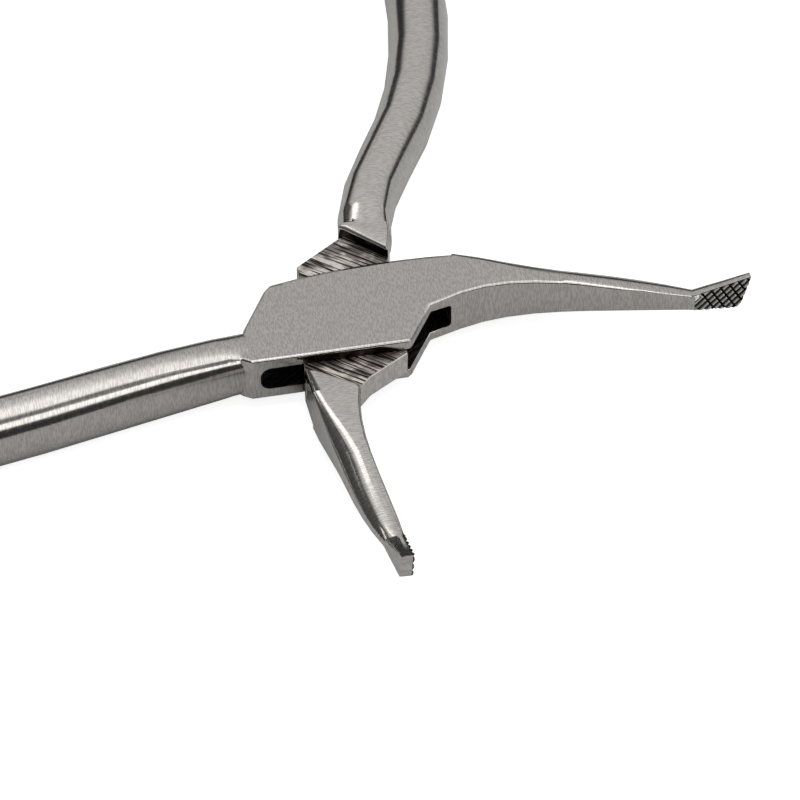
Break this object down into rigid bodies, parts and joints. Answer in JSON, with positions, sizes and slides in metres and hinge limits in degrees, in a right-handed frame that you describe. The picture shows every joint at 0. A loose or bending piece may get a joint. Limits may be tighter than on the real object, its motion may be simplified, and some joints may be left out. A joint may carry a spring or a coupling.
{
  "type": "orthodontic pliers",
  "caption": "Box-joint utility pliers for orthodontic wire, with bowed jaws, cross-cut gripping tips and oval bar handles that open about one flush pivot pin.",
  "frame": {"origin": "where the pivot axis meets the box joint's lower flat face", "axes": "+Z along the pivot axis, up out of the flat faces; +X along the box half's gripping face, towards its tip"},
  "size_m": [0.1423, 0.143, 0.0071],
  "materials": {
    "satin_steel": "satin brushed",
    "pin_steel": "satin, ground flush"
  },
  "bodies": {
    "box_body": {"box_half": "satin_steel", "pivot_pin": "pin_steel"},
    "tongue_body": {"tongue_half": "satin_steel"}
  },
  "joints": [
    {"name": "jaw_pivot", "type": "hinge", "parent": "box_body", "child": "tongue_body", "pos_m": [0, 0, 0.00245], "axis": [0, 0, 1], "range_deg": [-8, 87.4]}
  ]
}
